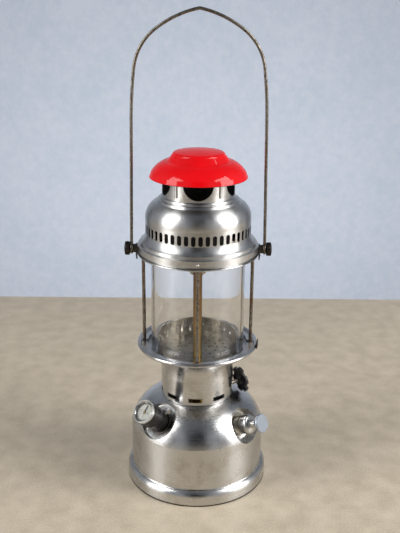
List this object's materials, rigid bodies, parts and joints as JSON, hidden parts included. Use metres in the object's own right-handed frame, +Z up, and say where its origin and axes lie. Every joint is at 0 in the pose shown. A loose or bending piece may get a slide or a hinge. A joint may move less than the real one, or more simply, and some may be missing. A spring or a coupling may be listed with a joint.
{
  "type": "kerosene pressure lantern",
  "caption": "Pressure lantern: pressed metal tank with hand pump and gauge cap, glass globe in a rod cage, slotted ventilator under a red enamel hood, and a wire bail.",
  "frame": {"origin": "centre of the foot ring, on the face that rests on the floor", "axes": "+Z up along the lantern's axis, -Y towards the front between gauge cap and pump, +X to the right through the bail's right pivot"},
  "size_m": [0.1702, 0.1702, 0.5536],
  "materials": {
    "nickel_plate": "polished nickel plate on pressed brass",
    "red_enamel": "glossy red vitreous enamel",
    "globe_glass": "thick clear heat-proof glass",
    "steel_wire": "drawn steel, slightly aged",
    "bare_brass": "plain brass",
    "heated_brass": "heat-tinted brass tube",
    "black_moulding": "black moulded bakelite",
    "black_screw": "blackened steel",
    "pump_disc": "satin turned aluminium",
    "dial_face": "pale painted dial",
    "pointer_black": "black painted pointer",
    "gauge_window": "clear flat glass",
    "cup_leather": "oiled leather",
    "seal_rubber": "black rubber",
    "burner_clay": "unglazed fired clay"
  },
  "bodies": {
    "lantern_body": {"tank_shell": "nickel_plate", "tank_base": "nickel_plate", "filler_neck": "bare_brass", "pump_barrel": "nickel_plate", "pump_valve": "bare_brass", "pump_cap": "nickel_plate", "vaporizer_bush": "bare_brass", "valve_body": "bare_brass", "gland_nut": "bare_brass", "pickup_tube": "bare_brass", "vaporizer_nut": "bare_brass", "vaporizer_tube": "heated_brass", "jet": "bare_brass", "collar": "nickel_plate", "gallery_ring": "nickel_plate", "gallery_tray": "nickel_plate", "spirit_cup": "bare_brass", "globe": "globe_glass", "cage_top_ring": "nickel_plate", "globe_clips": "black_screw", "lock_tab": "black_screw", "cage_rod_front": "steel_wire", "cage_rod_right": "steel_wire", "cage_rod_back": "steel_wire", "cage_rod_left": "steel_wire", "bail_lug_right": "black_screw", "bail_lug_left": "black_screw"},
    "control": {"control_spindle": "steel_wire", "control_wheel": "black_moulding", "wheel_nut": "steel_wire"},
    "needle": {"needle_rod": "steel_wire"},
    "pump_plunger": {"pump_rod": "steel_wire", "pump_knob": "pump_disc", "pump_leather": "cup_leather", "leather_nut": "bare_brass", "pump_spring": "steel_wire"},
    "filler_cap": {"filler_cap": "black_moulding", "cap_washer": "seal_rubber", "gauge_bezel": "nickel_plate", "gauge_dial": "dial_face", "gauge_glass": "gauge_window"},
    "gauge_hand": {"gauge_pointer": "pointer_black"},
    "bleed": {"bleed_screw": "nickel_plate"},
    "ventilator": {"ventilator_shell": "nickel_plate", "crown": "nickel_plate", "hood": "red_enamel", "hood_spider": "steel_wire", "hood_stud": "steel_wire", "hood_nut": "steel_wire", "inner_chimney": "nickel_plate", "burner_bridge": "steel_wire", "mixing_tube": "bare_brass", "mixing_chamber": "bare_brass", "clay_nozzle": "burner_clay"},
    "bail": {"bail": "steel_wire"},
    "thumb_left": {"thumb_screw_left": "black_screw"},
    "thumb_right": {"thumb_screw_right": "black_screw"}
  },
  "joints": [
    {"name": "bail_swing", "type": "hinge", "parent": "lantern_body", "child": "bail", "pos_m": [0, 0, 0.289], "axis": [1, 0, 0], "range_deg": [-158, 154]},
    {"name": "thumb_left_turn", "type": "hinge", "parent": "lantern_body", "child": "thumb_left", "pos_m": [-0.08, 0, 0.289], "axis": [-1, 0, 0], "range_deg": [0, 720]},
    {"name": "thumb_right_turn", "type": "hinge", "parent": "lantern_body", "child": "thumb_right", "pos_m": [0.08, 0, 0.289], "axis": [1, 0, 0], "range_deg": [0, 720]},
    {"name": "hood_lift", "type": "slide", "parent": "lantern_body", "child": "ventilator", "axis": [0, 0, 1], "range_m": [0, 0.12]},
    {"name": "pump_stroke", "type": "slide", "parent": "lantern_body", "child": "pump_plunger", "axis": [0.7351, -0.554, 0.3907], "range_m": [-0.003, 0.085]},
    {"name": "control_turn", "type": "hinge", "parent": "lantern_body", "child": "control", "pos_m": [0, -0.028, 0.1132], "axis": [0.8576, 0.4951, 0.1392], "range_deg": [0, 180]},
    {"name": "needle_lift", "type": "slide", "parent": "lantern_body", "child": "needle", "axis": [0, 0, 1], "range_m": [0, 0.00271]},
    {"name": "filler_cap_lift", "type": "slide", "parent": "lantern_body", "child": "filler_cap", "axis": [-0.5068, -0.5435, 0.6691], "range_m": [0, 0.012]},
    {"name": "gauge_sweep", "type": "hinge", "parent": "filler_cap", "child": "gauge_hand", "pos_m": [-0.06187, -0.06635, 0.11547], "axis": [0.5068, 0.5435, -0.6691], "range_deg": [0, 270], "stiffness_Nm_per_rad": 0.00002},
    {"name": "bleed_turn", "type": "hinge", "parent": "filler_cap", "child": "bleed", "pos_m": [-0.04604, -0.04937, 0.09455], "axis": [0.7746, 0.0536, 0.6302], "range_deg": [0, 360]}
  ],
  "couplings": [
    {"joint": "needle_lift", "follows": "control_turn", "m_per_rad": 0.00086}
  ]
}
